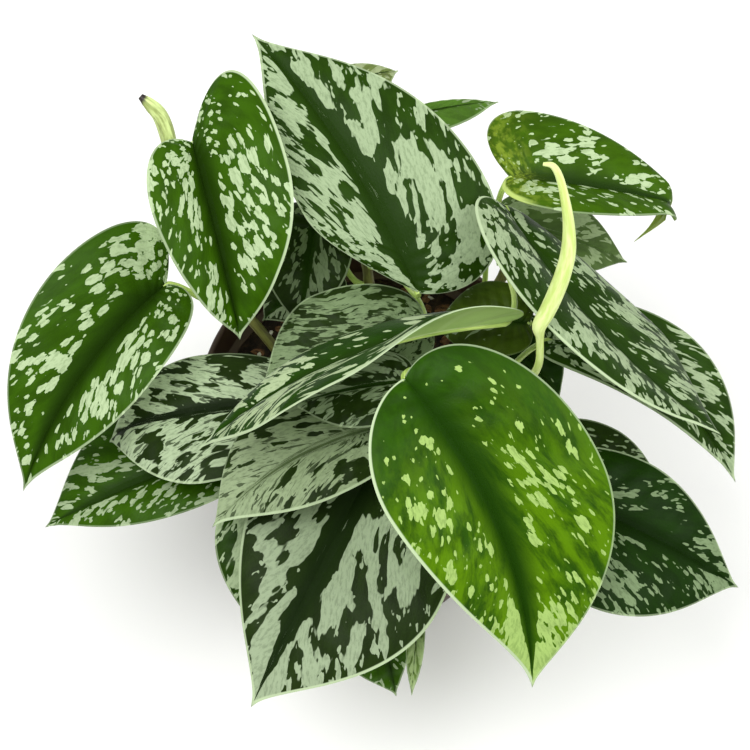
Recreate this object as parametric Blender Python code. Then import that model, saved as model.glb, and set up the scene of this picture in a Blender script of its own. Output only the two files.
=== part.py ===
"""A silver splash pothos, a bushy Scindapsus pictus, in a plain round nursery pot.

Metres, +Z up. The origin is the centre of the pot's base, and the plant's front
faces -Y. Every leaf is one blade with its petiole, standing 0.3 mm off the vine
that it grows from. The vines stand in plain holes in the soil.
"""
import math

import bpy
import numpy as np

# Pot
POT_HEIGHT = 0.105
POT_BASE_RADIUS = 0.043
POT_SHOULDER_RADIUS = 0.0563
POT_RIM_RADIUS = 0.0602
RIM_BAND_HEIGHT = 0.017
RIM_STEP = 0.0022
LIP = 0.0010
POT_WALL = 0.0015
POT_FLOOR = 0.0025
BASE_CHAMFER = 0.0015
POT_SEGMENTS = 48
DRAIN_COUNT = 6
DRAIN_RADIUS = 0.0040
DRAIN_CIRCLE_RADIUS = 0.031
DRAIN_SIDES = 12

# Soil
SOIL_LEVEL = 0.089
SOIL_MOUND = 0.0030
SOIL_LUMP = 0.0008
SOIL_RING_SHARES = (0.90, 0.72, 0.52, 0.30)
SOIL_SEED = 7

# Vines, petioles and blades
CLEARANCE = 0.0003
STEM_RADIUS = 0.0020
STEM_ROOT_LEVEL = 0.060
STEM_BEND_LEVEL = 0.098
PETIOLE_RADIUS = 0.0012
PETIOLE_END_RADIUS = 0.0005
PETIOLE_SINK = 0.0007
PETIOLE_RISE = 0.7
PETIOLE_STEPS = 6
PETIOLE_REACH = 0.10
LEAVING_PULL = 0.35
ARRIVING_PULL = 0.30
BLADE_THICKNESS = 0.0008
BLADE_ROWS = 12
BLADE_COLUMNS = 2

# The blade's outline, shared by every leaf
LOBE_SHARE = 0.42
LOBE_ROUNDNESS = 1.15
TAPER = 0.92
TIP_NARROWING = 0.80
TIP_DRAW = 6
RAISE_NEAR = 0.05
RAISE_FAR = 0.55
VEIN_SLANT = 0.16
FIRST_VEIN = 0.14
BLADE_SWELL = 0.10
BLADE_WAVE = 0.02
WAVE_RATE = 9.0

UP = np.array((0.0, 0.0, 1.0))

# Each vine rises from its foot at the soil to its top, and the petioles leave it
# at a share of that height.
STEMS = {
    "stem_back": {"foot": (0.000, 0.020), "top": (-0.004, 0.050, 0.138)},
    "stem_left": {"foot": (-0.028, 0.010), "top": (-0.052, 0.024, 0.148)},
    "stem_right": {"foot": (0.028, 0.016), "top": (0.044, 0.028, 0.150)},
    "stem_front": {"foot": (0.002, -0.014), "top": (0.002, -0.006, 0.138)},
    "stem_front_right": {"foot": (0.030, -0.017), "top": (0.038, -0.014, 0.150)},
    "stem_front_left": {"foot": (-0.024, -0.016), "top": (-0.022, -0.010, 0.114)},
}


def leaf(stem, node, heart, tip, left, right, **form):
    """One leaf: its vine and place on it, its two ends, and each half's width and lift.

    left and right hold a half's greatest width and the degrees that it lifts from
    level, seen from above along the leaf from heart to tip. form may give bow (the
    midrib's rise), sway (its bend to the right), tuck (how far the tip drops from where
    it turns under), fold (where that starts), curl (how far it turns back, as a share of
    the drop), lobes (how far each lobe reaches behind the heart, as a share of the
    length), peak (where each half is widest) and raised (the degrees that each half
    lifts more beside the heart).
    """
    shape = {"bow": 0.005, "sway": 0.0, "tuck": 0.0, "fold": 0.7, "curl": 0.5,
             "lobes": (0.10, 0.10), "peak": (0.36, 0.36), "raised": (0, 0)}
    shape.update(form)
    shape.update(stem=stem, node=node, heart=heart, tip=tip, left=left, right=right)
    return shape


LEAVES = {
    "leaf_back_centre": leaf(
        "stem_back", 0.84, (0.014, 0.011, 0.163), (-0.040, 0.092, 0.189), (0.023, 5), (0.0355, 8),
        sway=0.003, lobes=(-0.08, 0.08), peak=(0.38, 0.22)),
    "leaf_back_left": leaf(
        "stem_left", 0.97, (-0.058, 0.051, 0.189), (-0.042, -0.009, 0.165), (0.029, 22), (0.0225, 35),
        lobes=(0.34, 0.05), tuck=0.005, peak=(0.26, 0.32)),
    "leaf_left": leaf(
        "stem_left", 0.84, (-0.068, 0.017, 0.157), (-0.1145, -0.042, 0.125), (0.0215, 5), (0.0282, 30),
        bow=0.006, sway=0.004, lobes=(0.10, 0.16), peak=(0.36, 0.22)),
    "leaf_front": leaf(
        "stem_front_right", 0.97, (0.009, -0.032, 0.189), (0.049, -0.111, 0.131), (0.037, 8), (0.032, 15),
        bow=0.006, sway=-0.0085, lobes=(0.06, 0.03), peak=(0.46, 0.30)),
    "leaf_front_left": leaf(
        "stem_front", 0.55, (0.007, -0.018, 0.124), (-0.040, -0.108, 0.102), (0.042, 5), (0.031, 8),
        bow=0.006, lobes=(0.06, 0.06), peak=(0.48, 0.30)),
    "leaf_front_left_under": leaf(
        "stem_front_left", 0.55, (-0.028, -0.033, 0.113), (-0.037, -0.084, 0.098), (0.016, 5), (0.021, 5)),
    "leaf_front_low": leaf(
        "stem_front", 0.36, (-0.004, -0.062, 0.114), (0.007, -0.098, 0.083), (0.010, 5), (0.018, 5),
        bow=0.004),
    "leaf_front_slim": leaf(
        "stem_front_right", 0.30, (0.014, -0.078, 0.109), (0.012, -0.101, 0.093), (0.003, 10), (0.003, 10),
        bow=0.002),
    "leaf_back_right": leaf(
        "stem_right", 0.93, (0.044, 0.049, 0.171), (0.107, 0.041, 0.163), (0.0240, 5), (0.018, 30),
        bow=0.003, lobes=(0.15, 0.08), tuck=0.028, fold=0.78, curl=0.60, peak=(0.03, 0.32)),
    "leaf_back_right_under": leaf(
        "stem_right", 0.60, (0.042, 0.050, 0.139), (0.085, 0.039, 0.131), (0.014, 5), (0.016, 5),
        bow=0.004),
    "leaf_right": leaf(
        "stem_right", 0.98, (0.042, 0.038, 0.171), (0.111, -0.030, 0.143), (0.027, -38), (0.027, 42),
        bow=0.006, sway=0.008, lobes=(0.02, 0.08), peak=(0.66, 0.30)),
    "leaf_right_under": leaf(
        "stem_front_right", 0.80, (0.058, 0.009, 0.133), (0.120, -0.032, 0.109), (0.020, 8), (0.014, 28),
        bow=0.007, sway=-0.008, peak=(0.42, 0.36)),
    "leaf_front_right": leaf(
        "stem_front_right", 0.74, (0.055, -0.046, 0.135), (0.118, -0.071, 0.113), (0.022, 5), (0.032, 5)),
    "leaf_front_right_under": leaf(
        "stem_front_right", 0.50, (0.057, -0.025, 0.119), (0.100, -0.042, 0.099), (0.017, 5), (0.015, 5),
        bow=0.003),
    "leaf_mid_left": leaf(
        "stem_front_left", 0.95, (-0.025, -0.012, 0.130), (-0.093, -0.021, 0.123), (0.026, 0), (0.020, 0),
        tuck=0.008, peak=(0.48, 0.44)),
    "leaf_low_left": leaf(
        "stem_front_left", 0.76, (-0.046, -0.023, 0.115), (-0.110, -0.045, 0.101), (0.0165, 5), (0.027, 0),
        peak=(0.30, 0.42)),
    "leaf_inner_front": leaf(
        "stem_front", 0.78, (0.003, -0.027, 0.143), (-0.052, -0.058, 0.133), (0.018, 0), (0.022, 0),
        sway=0.004),
    "leaf_centre_folded": leaf(
        "stem_right", 0.99, (0.0410, -0.0040, 0.1715), (-0.0545, -0.0435, 0.163), (0.022, 50), (0.017, -40),
        sway=0.007, lobes=(0.14, 0.08), peak=(0.74, 0.48), raised=(37, 0)),
    "leaf_inner_silver": leaf(
        "stem_back", 0.72, (0.016, 0.009, 0.147), (-0.037, -0.013, 0.143), (0.019, 5), (0.020, 12),
        bow=0.004, lobes=(0.06, 0.06), peak=(0.40, 0.52)),
    "leaf_inner_back_left": leaf(
        "stem_back", 0.60, (-0.0190, 0.0490, 0.149), (-0.025, 0.009, 0.139), (0.014, 5), (0.016, 5),
        bow=0.003),
    "leaf_inner_left": leaf(
        "stem_back", 0.34, (-0.015, 0.039, 0.127), (-0.038, 0.022, 0.121), (0.014, 5), (0.014, 5),
        bow=0.003),
    "leaf_inner_centre": leaf(
        "stem_front", 0.92, (0.011, -0.018, 0.158), (-0.027, -0.024, 0.152), (0.015, 5), (0.012, 5),
        bow=0.003),
    "leaf_inner_right": leaf(
        "stem_right", 0.74, (0.050, 0.008, 0.147), (0.019, 0.010, 0.141), (0.014, 5), (0.014, 5),
        bow=0.003),
    "leaf_inner_front_right": leaf(
        "stem_front_right", 0.62, (0.042, 0.017, 0.125), (0.062, -0.006, 0.117), (0.013, 5), (0.013, 5),
        bow=0.003),
    "leaf_far_back": leaf(
        "stem_back", 0.93, (-0.019, 0.094, 0.149), (0.008, 0.106, 0.145), (0.006, 5), (0.012, 5),
        bow=0.003),
    "leaf_far_back_right": leaf(
        "stem_back", 0.98, (0.004, 0.079, 0.155), (0.042, 0.091, 0.149), (0.003, 5), (0.009, 5),
        bow=0.003),
}

# A rolled young leaf: its vine, then points up the roll with the radius at each.
YOUNG_LEAVES = {
    "young_leaf_rolled": {
        "stem": "stem_front_right", "node": 0.99, "radius": 0.0014,
        "line": (
            (0.0514, -0.0166, 0.176, 0.0013), (0.0511, -0.0145, 0.182, 0.0014),
            (0.0508, -0.0126, 0.186, 0.0024), (0.0532, -0.0094, 0.190, 0.0027),
            (0.0558, -0.0051, 0.195, 0.0028), (0.0577, -0.0012, 0.200, 0.0027),
            (0.0590, 0.0037, 0.205, 0.0025), (0.0588, 0.0088, 0.211, 0.0020),
            (0.0577, 0.0139, 0.216, 0.0016), (0.0558, 0.0203, 0.220, 0.0013),
            (0.0537, 0.0233, 0.222, 0.0011), (0.0507, 0.0240, 0.222, 0.0006)),
    },
    "young_shoot_left": {
        "stem": "stem_left", "node": 0.99, "radius": 0.0013,
        "line": (
            (-0.064, 0.040, 0.166, 0.0013), (-0.065, 0.048, 0.178, 0.0018), (-0.066, 0.053, 0.188, 0.0028),
            (-0.068, 0.057, 0.195, 0.0028), (-0.071, 0.059, 0.199, 0.0023), (-0.074, 0.061, 0.201, 0.0010)),
    },
}

# Colour (linear), roughness
FINISHES = {
    "pot_plastic": ((0.060, 0.030, 0.018), 0.55),
    "potting_soil": ((0.022, 0.013, 0.008), 0.95),
    "vine_green": ((0.120, 0.150, 0.040), 0.60),
    "leaf_green": ((0.060, 0.130, 0.035), 0.45),
    "young_leaf_green": ((0.560, 0.700, 0.240), 0.45),
}


def clear_scene():
    for item in list(bpy.data.objects):
        bpy.data.objects.remove(item, do_unlink=True)


def finish(name):
    """The material of that name, made once."""
    material = bpy.data.materials.get(name)
    if material is None:
        colour, roughness = FINISHES[name]
        material = bpy.data.materials.new(name)
        material.use_nodes = True
        shader = material.node_tree.nodes["Principled BSDF"]
        shader.inputs["Base Color"].default_value = (*colour, 1.0)
        shader.inputs["Roughness"].default_value = roughness
        shader.inputs["Metallic"].default_value = 0.0
    return material


def add_object(name, data, finish_name):
    item = bpy.data.objects.new(name, data)
    bpy.context.scene.collection.objects.link(item)
    item.data.materials.clear()
    item.data.materials.append(finish(finish_name))
    return item


def add_mesh(name, points, faces, finish_name, smooth_angle=40):
    mesh = bpy.data.meshes.new(name)
    mesh.from_pydata([tuple(point) for point in points], [], faces)
    mesh.validate()
    mesh.shade_smooth()
    mesh.set_sharp_from_angle(angle=math.radians(smooth_angle))
    return add_object(name, mesh, finish_name)


def add_tube(name, line, radii, finish_name, sides_level=1):
    """A round rod along the points of line, with a radius at each and capped ends."""
    curve = bpy.data.curves.new(name, "CURVE")
    curve.dimensions = "3D"
    curve.bevel_depth = 1.0
    curve.bevel_resolution = sides_level
    curve.use_fill_caps = True
    spline = curve.splines.new("POLY")
    spline.points.add(len(line) - 1)
    for place, point, radius in zip(spline.points, line, radii):
        place.co = (*point, 1.0)
        place.radius = radius
    return add_object(name, curve, finish_name)


def as_mesh(item):
    """A mesh object in the place of a curve object."""
    graph = bpy.context.evaluated_depsgraph_get()
    mesh = bpy.data.meshes.new_from_object(item.evaluated_get(graph))
    name = item.name
    bpy.data.objects.remove(item, do_unlink=True)
    solid = bpy.data.objects.new(name, mesh)
    bpy.context.scene.collection.objects.link(solid)
    return solid


def apply_modifiers(item):
    """Make the item's evaluated shape its own mesh."""
    graph = bpy.context.evaluated_depsgraph_get()
    mesh = bpy.data.meshes.new_from_object(item.evaluated_get(graph))
    item.modifiers.clear()
    item.data = mesh


def boolean(item, other, operation):
    """Join other to the item, or cut it away, and remove other."""
    modifier = item.modifiers.new("boolean", "BOOLEAN")
    modifier.operation = operation
    modifier.solver = "EXACT"
    modifier.object = other
    apply_modifiers(item)
    bpy.data.objects.remove(other, do_unlink=True)


def unit(vector):
    return vector / np.linalg.norm(vector)


def lathe(profile, segments):
    """Points and faces of a profile turned about Z. Its first and last points are on the axis."""
    rings = profile[1:-1]
    points = [(0.0, 0.0, profile[0][1])]
    for radius, height in rings:
        for step in range(segments):
            turn = 2 * math.pi * step / segments
            points.append((radius * math.cos(turn), radius * math.sin(turn), height))
    points.append((0.0, 0.0, profile[-1][1]))
    last = len(points) - 1
    faces = []
    for step in range(segments):
        after = (step + 1) % segments
        faces.append((0, 1 + after, 1 + step))
        for ring in range(len(rings) - 1):
            low = 1 + ring * segments
            high = low + segments
            faces.append((low + step, low + after, high + after, high + step))
        top = 1 + (len(rings) - 1) * segments
        faces.append((top + step, top + after, last))
    return points, faces


def inner_radius(height):
    """The pot's inside radius below its rim band."""
    band_level = POT_HEIGHT - RIM_BAND_HEIGHT
    share = height / band_level
    return POT_BASE_RADIUS + (POT_SHOULDER_RADIUS - POT_BASE_RADIUS) * share - POT_WALL


def build_pot():
    band_level = POT_HEIGHT - RIM_BAND_HEIGHT
    band_radius = POT_SHOULDER_RADIUS + RIM_STEP
    profile = [
        (0.0, 0.0),
        (POT_BASE_RADIUS - BASE_CHAMFER, 0.0),
        (POT_BASE_RADIUS, BASE_CHAMFER),
        (POT_SHOULDER_RADIUS, band_level),
        (band_radius, band_level + LIP),
        (POT_RIM_RADIUS, POT_HEIGHT - LIP),
        (POT_RIM_RADIUS - LIP / 2, POT_HEIGHT),
        (POT_RIM_RADIUS - LIP * 1.5, POT_HEIGHT),
        (POT_RIM_RADIUS - LIP * 2, POT_HEIGHT - LIP),
        (band_radius - POT_WALL, band_level + LIP * 3),
        (inner_radius(band_level), band_level + LIP),
        (inner_radius(POT_FLOOR), POT_FLOOR),
        (0.0, POT_FLOOR),
    ]
    points, faces = lathe(profile, POT_SEGMENTS)
    pot = add_mesh("pot", points, faces, "pot_plastic")
    for index in range(DRAIN_COUNT):
        turn = 2 * math.pi * (index + 0.5) / DRAIN_COUNT
        place = (DRAIN_CIRCLE_RADIUS * math.cos(turn), DRAIN_CIRCLE_RADIUS * math.sin(turn), 0.0)
        boolean(pot, add_cutter(place, DRAIN_RADIUS, 4 * POT_FLOOR), "DIFFERENCE")


def add_cutter(place, radius, height, sides=DRAIN_SIDES):
    """An upright cylinder centred on place, to be cut away."""
    points, faces = lathe([(0.0, -height / 2), (radius, -height / 2), (radius, height / 2),
                           (0.0, height / 2)], sides)
    cutter = add_mesh("cutter", points, faces, "pot_plastic")
    cutter.location = place
    cutter.rotation_euler.z = math.pi / sides
    cutter.hide_render = True
    cutter.display_type = "WIRE"
    bpy.context.view_layer.update()
    return cutter


def build_soil():
    """The soil fills the pot below its rim band, slightly mounded and lumpy on top."""
    floor = POT_FLOOR + CLEARANCE
    edge = inner_radius(SOIL_LEVEL) - CLEARANCE
    profile = [(0.0, floor), (inner_radius(floor) - CLEARANCE, floor), (edge, SOIL_LEVEL)]
    for share in SOIL_RING_SHARES:
        profile.append((edge * share, SOIL_LEVEL + SOIL_MOUND * (1 - share ** 2)))
    profile.append((0.0, SOIL_LEVEL + SOIL_MOUND))
    points, faces = lathe(profile, POT_SEGMENTS)
    lumps = np.random.default_rng(SOIL_SEED).uniform(-SOIL_LUMP, SOIL_LUMP, len(points))
    first_lumpy = 1 + 2 * POT_SEGMENTS
    shaped = []
    for index, (x, y, z) in enumerate(points):
        shaped.append((x, y, z + lumps[index] if index >= first_lumpy else z))
    soil = add_mesh("soil", shaped, faces, "potting_soil", smooth_angle=60)
    hole_top = SOIL_LEVEL + 3 * SOIL_MOUND
    hole_bottom = STEM_ROOT_LEVEL - CLEARANCE
    for stem in STEMS.values():
        place = (*stem["foot"], (hole_top + hole_bottom) / 2)
        cutter = add_cutter(place, STEM_RADIUS + 2 * CLEARANCE, hole_top - hole_bottom)
        boolean(soil, cutter, "DIFFERENCE")


def bezier(start, leave, arrive, end, steps):
    share = np.linspace(0.0, 1.0, steps + 1)[:, None]
    rest = 1.0 - share
    return (rest ** 3 * start + 3 * share * rest ** 2 * leave
            + 3 * share ** 2 * rest * arrive + share ** 3 * end)


def stem_line(stem, steps=8):
    """The vine's middle line above the soil."""
    foot = np.array((*stem["foot"], STEM_BEND_LEVEL))
    top = np.array(stem["top"])
    rise = top - foot
    return bezier(foot, foot + UP * rise[2] * LEAVING_PULL, top - rise * ARRIVING_PULL, top, steps)


def stem_place(stem, share):
    """A point on the vine's middle line, and the line's direction there."""
    steps = 60
    line = stem_line(stem, steps)
    low = min(int(share * steps), steps - 1)
    step = line[low + 1] - line[low]
    return line[low] + step * (share * steps - low), unit(step)


def build_stems():
    for name, stem in STEMS.items():
        root = np.array((*stem["foot"], STEM_ROOT_LEVEL))
        line = np.vstack((root, stem_line(stem)))
        add_tube(name, line, [STEM_RADIUS] * len(line), "vine_green")


class Midrib:
    """The arched line from a leaf's heart to its tip, and the directions along it."""

    def __init__(self, shape):
        self.shape = shape
        self.heart = np.array(shape["heart"])
        self.chord = np.array(shape["tip"]) - self.heart
        self.along = unit(self.chord)
        self.normal = unit(UP - self.along * UP.dot(self.along))
        self.right = np.cross(self.along, self.normal)

    def curve(self, station):
        arch = 4 * station * (1 - station)
        fold = self.shape["fold"]
        turned = max(0.0, (station - fold) / (1 - fold)) ** 2 * self.shape["tuck"]
        return (self.heart + self.chord * station
                + self.normal * (self.shape["bow"] * arch - turned)
                + self.right * self.shape["sway"] * arch
                - self.along * turned * self.shape["curl"])

    def point(self, station):
        """A point on the midrib, carried straight on behind the heart for the lobes."""
        if station >= 0:
            return self.curve(station)
        step = 0.01
        return self.curve(0.0) + (self.curve(step) - self.curve(0.0)) * station / step

    def frame(self, station):
        """The directions along the midrib, out of the blade's face, and to its right."""
        station = min(max(station, 0.0), 1.0)
        low = max(station - 0.02, 0.0)
        high = min(station + 0.02, 1.0)
        along = unit(self.curve(high) - self.curve(low))
        normal = unit(self.normal - along * self.normal.dot(along))
        return along, normal, np.cross(along, normal)


def vein_root(share, peak):
    """Where on the midrib the side vein to a margin point starts."""
    first = max(peak - VEIN_SLANT, FIRST_VEIN)
    if share < LOBE_SHARE:
        return first * (share / LOBE_SHARE) ** 1.1
    run = (share - LOBE_SHARE) / (1 - LOBE_SHARE)
    return first + (1.0 - first) * run ** 0.93


def margin(share, lobe, peak):
    """Station and width of a margin point, from the notch round the lobe to the tip."""
    if share < LOBE_SHARE:
        turn = 0.5 * math.pi * share / LOBE_SHARE
        station = peak * (1 - math.cos(turn)) - lobe * math.sin(2 * turn)
        return station, math.sin(turn) ** LOBE_ROUNDNESS
    run = (share - LOBE_SHARE) / (1 - LOBE_SHARE)
    width = math.cos(0.5 * math.pi * run) ** TAPER * (1 - TIP_NARROWING * run ** TIP_DRAW)
    return peak + (1 - peak) * run, width


def lift_at(shape, side, station):
    """The degrees that a half lifts, with what it is raised beside the heart."""
    lift = (shape["left"] if side < 0 else shape["right"])[1]
    raised = shape["raised"][0 if side < 0 else 1]
    fall = min(max((station - RAISE_NEAR) / (RAISE_FAR - RAISE_NEAR), 0.0), 1.0)
    return lift + raised * (1 - fall * fall * (3 - 2 * fall))


def blade_point(rib, side, share, across):
    """A point of the blade's middle surface. side is -1 for the left half, 1 for the right."""
    shape = rib.shape
    half = 0 if side < 0 else 1
    half_width = (shape["left"] if side < 0 else shape["right"])[0]
    station, width = margin(share, shape["lobes"][half], shape["peak"][half])
    angle = math.radians(lift_at(shape, side, station))
    normal, right = rib.frame(station)[1:]
    out = right * side * math.cos(angle) + normal * math.sin(angle)
    face = normal * math.cos(angle) - right * side * math.sin(angle)
    start = rib.point(vein_root(share, sum(shape["peak"]) / 2))
    end = rib.point(station) + out * half_width * width
    swell = BLADE_SWELL * 4 * across * (1 - across)
    wave = BLADE_WAVE * across ** 2 * math.sin(WAVE_RATE * share + 2 * side)
    return start + (end - start) * across + face * half_width * width * (swell + wave)


def blade_surface(shape):
    """The blade's middle surface as points and triangles, and its rim as a loop."""
    rib = Midrib(shape)
    peak = sum(shape["peak"]) / 2
    points = [rib.point(0.0)]
    index = {}
    for row in range(1, BLADE_ROWS):
        share = row / BLADE_ROWS
        for side in (-1, 1):
            index[row, side, 0] = len(points)
        points.append(rib.point(vein_root(share, peak)))
        for side in (-1, 1):
            for column in range(1, BLADE_COLUMNS + 1):
                index[row, side, column] = len(points)
                points.append(blade_point(rib, side, share, column / BLADE_COLUMNS))
    tip = len(points)
    points.append(rib.point(1.0))
    for side in (-1, 1):
        for column in range(BLADE_COLUMNS + 1):
            index[0, side, column] = 0
            index[BLADE_ROWS, side, column] = tip
    triangles = []
    for side in (-1, 1):
        for row in range(BLADE_ROWS):
            for column in range(BLADE_COLUMNS):
                a = index[row, side, column]
                b = index[row, side, column + 1]
                c = index[row + 1, side, column + 1]
                d = index[row + 1, side, column]
                for corners in ((a, b, c), (a, c, d)):
                    if len(set(corners)) == 3:
                        triangles.append(corners if side > 0 else corners[::-1])
    rim = [0]
    rim += [index[row, 1, BLADE_COLUMNS] for row in range(1, BLADE_ROWS)]
    rim += [tip]
    rim += [index[row, -1, BLADE_COLUMNS] for row in range(BLADE_ROWS - 1, 0, -1)]
    return np.array(points), triangles, rim


def point_normals(points, triangles):
    normals = np.zeros_like(points)
    for a, b, c in triangles:
        normals[[a, b, c]] += np.cross(points[b] - points[a], points[c] - points[a])
    return normals / np.linalg.norm(normals, axis=1)[:, None]


def thicken(points, triangles, rim, thickness):
    """A closed slab about the surface, split into triangles alike on both faces."""
    offset = point_normals(points, triangles) * thickness / 2
    count = len(points)
    faces = list(triangles)
    faces += [(c + count, b + count, a + count) for a, b, c in triangles]
    for start, end in zip(rim, rim[1:] + rim[:1]):
        faces.append((end, start, start + count))
        faces.append((end, start + count, end + count))
    return np.vstack((points + offset, points - offset)), faces


def leave_stem(stem_name, node, goal, radius):
    """Where a petiole starts, just clear of its vine, and the way that it leaves."""
    root, axis = stem_place(STEMS[stem_name], node)
    reach = goal - root
    away = unit(reach - axis * reach.dot(axis))
    leave = unit(away + axis * PETIOLE_RISE)
    return root + away * (STEM_RADIUS + CLEARANCE + radius * leave.dot(axis)), leave


def petiole_line(shape):
    """From the vine up to the heart, then on under the blade, where it sinks into the midrib."""
    rib = Midrib(shape)
    heart = rib.point(0.0) - rib.normal * PETIOLE_SINK
    start, leave = leave_stem(shape["stem"], shape["node"], heart, PETIOLE_RADIUS)
    span = np.linalg.norm(heart - start)
    arrive = unit(unit(heart - start) + rib.frame(0.0)[0] * PETIOLE_RISE)
    line = bezier(start, start + leave * span * LEAVING_PULL,
                  heart - arrive * span * ARRIVING_PULL, heart, PETIOLE_STEPS)
    inner = rib.point(PETIOLE_REACH) - rib.frame(PETIOLE_REACH)[1] * PETIOLE_END_RADIUS
    return np.vstack((line, inner))


def build_leaf(name, shape):
    points, triangles, rim = blade_surface(shape)
    points, faces = thicken(points, triangles, rim, BLADE_THICKNESS)
    blade = add_mesh(name, points, faces, "leaf_green")
    line = petiole_line(shape)
    radii = [PETIOLE_RADIUS] * (len(line) - 1) + [PETIOLE_END_RADIUS]
    boolean(blade, as_mesh(add_tube("petiole", line, radii, "leaf_green")), "UNION")


def build_young_leaf(name, shape):
    radius = shape["radius"]
    roll = np.array([place[:3] for place in shape["line"]])
    roll_radii = [place[3] for place in shape["line"]]
    start, leave = leave_stem(shape["stem"], shape["node"], roll[0], radius)
    span = np.linalg.norm(roll[0] - start)
    arrive = unit(roll[1] - roll[0])
    stalk = bezier(start, start + leave * span * LEAVING_PULL,
                   roll[0] - arrive * span * ARRIVING_PULL, roll[0], PETIOLE_STEPS)
    line = np.vstack((stalk[:-1], roll))
    radii = [radius] * (len(stalk) - 1) + roll_radii
    add_tube(name, line, radii, "young_leaf_green")


def main():
    clear_scene()
    build_pot()
    build_soil()
    build_stems()
    for name, shape in LEAVES.items():
        build_leaf(name, shape)
    for name, shape in YOUNG_LEAVES.items():
        build_young_leaf(name, shape)


main()
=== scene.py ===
"""Looks of a silver splash pothos, a bushy Scindapsus pictus, in a round nursery pot.

Metres, +Z up, with the pot's base at the origin and the plant's front towards -Y.
The tables of leaves and young leaves are in mm, and colours are sRGB from 0 to 255.
Each leaf is one finely modelled blade with its petiole. Its silver splashes are drawn
along its side veins, in a map that follows the leaf from heart to tip.
"""
import math
from statistics import NormalDist
from typing import NamedTuple

import bpy
import numpy as np
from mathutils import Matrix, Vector, noise


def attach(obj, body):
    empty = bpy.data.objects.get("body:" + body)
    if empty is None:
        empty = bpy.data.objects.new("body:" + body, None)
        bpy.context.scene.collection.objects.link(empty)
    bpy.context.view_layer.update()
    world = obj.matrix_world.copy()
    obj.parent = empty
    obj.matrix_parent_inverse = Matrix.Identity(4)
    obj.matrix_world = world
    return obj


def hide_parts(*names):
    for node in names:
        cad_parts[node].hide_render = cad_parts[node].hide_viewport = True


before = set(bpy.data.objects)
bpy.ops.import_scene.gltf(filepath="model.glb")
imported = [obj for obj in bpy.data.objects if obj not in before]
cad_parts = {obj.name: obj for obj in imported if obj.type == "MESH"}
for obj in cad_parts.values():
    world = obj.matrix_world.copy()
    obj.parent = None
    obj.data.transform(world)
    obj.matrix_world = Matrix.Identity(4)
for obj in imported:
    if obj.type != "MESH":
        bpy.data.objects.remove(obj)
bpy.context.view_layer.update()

# Camera and light
IMAGE_SIDE = 750
TARGET = (0.0, 0.0, 0.105)
TARGET_ROW = 400
CAMERA_ELEVATION = 65
CAMERA_DISTANCE = 0.85
CAMERA_LENS = 120
SENSOR_WIDTH = 36
SKY_STRENGTH = 0.64
# Place, width and power
LIGHTS = {"key": ((-0.40, -0.25, 1.35), 0.8, 13.0), "fill": ((0.85, -0.10, 1.10), 1.0, 9.0)}
FLOOR_SIDE = 6.0
FLOOR_DROP = 0.0003

# Pot, as in the frame
POT_HEIGHT = 0.105
POT_BASE_RADIUS = 0.043
POT_SHOULDER_RADIUS = 0.0563
POT_RIM_RADIUS = 0.0602
RIM_BAND_HEIGHT = 0.017
RIM_STEP = 0.0022
POT_WALL = 0.0015
POT_FLOOR = 0.0025
BASE_CHAMFER = 0.0015
POT_SEGMENTS = 144
DRAIN_COUNT = 6
DRAIN_RADIUS = 0.0040
DRAIN_CIRCLE_RADIUS = 0.031
LIP_RADIUS = 0.0010

# Soil
SOIL_LEVEL = 0.089
SOIL_MOUND = 0.0030
SOIL_DROP = 0.0004
LUMP_HEIGHT = 0.0006
LUMP_RATE = 140
GRIT_HEIGHT = 0.0003
GRIT_RATE = 520
SOIL_SEGMENTS = 144
SOIL_RINGS = 40
CRUMB_COUNT = 420
CRUMB_SEED = 11
CRUMB_INSET = 0.003
CRUMB_STRETCH = 1.9
CRUMB_ROUGHNESS = (0.7, 1.15)
# Least and greatest size, and how flat a chip lies
BARK_SIZES = (0.0006, 0.0020, 0.5)
PERLITE_SIZES = (0.0005, 0.0011, 0.9)

# Vines and petioles
CLEARANCE = 0.0003
STEM_RADIUS = 0.0020
STEM_ROOT_LEVEL = 0.060
STEM_BEND_LEVEL = 0.098
STEM_SIDES = 20
STEM_STEPS = 60
NODE_LENGTH = 0.03
NODE_SWELL = 0.12
PETIOLE_RADIUS = 0.0012
PETIOLE_SINK = 0.0007
PETIOLE_RISE = 0.7
PETIOLE_SIDES = 14
PETIOLE_STEPS = 22
CHANNEL_DEPTH = 0.16
# Shares of the petiole's radius: along its stalk, at both swollen ends, and below the blade
STALK_SHARE = 0.86
BASE_SWELL = 0.35
KNEE_SWELL = 0.16
UNDER_SHARE = 0.80
UNDER_TAPER = 0.62
UNDER_STEPS = 12
UNDER_REACH = 0.62
LEAVING_PULL = 0.35
ARRIVING_PULL = 0.30

# Rolled young leaves
STALK_STEPS = 6
ROLL_STEPS = 8
ROLL_SIDES = 40
LEAST_ROLL_RADIUS = 0.0004
LAP_DEPTH = 0.10
LAP_OPENING = 0.10
LAP_TWIST = 3.2

# Blades
BLADE_ROWS = 84
BLADE_COLUMNS = 14
COLUMN_CROWDING = 1.15
BLADE_THICKNESS = 0.0006
EDGE_THICKNESS = 0.0003
# Mm from the margin where a blade is full thick, and at the heart's notch
EDGE_RAMP = 3.0
HEART_EDGE = 6.0
LOBE_SHARE = 0.42
LOBE_ROUNDNESS = 1.15
TAPER = 0.92
TIP_NARROWING = 0.80
TIP_DRAW = 6
RAISE_NEAR = 0.05
RAISE_FAR = 0.55
VEIN_SLANT = 0.16
FIRST_VEIN = 0.14
BLADE_SWELL = 0.10
BLADE_WAVE = 0.02
WAVE_RATE = 9.0
MIDRIB_GROOVE = 0.00025
MIDRIB_HALF_WIDTH = 0.0013
QUILT_DEPTH = 0.00024
QUILT_VEINS = 11

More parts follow.
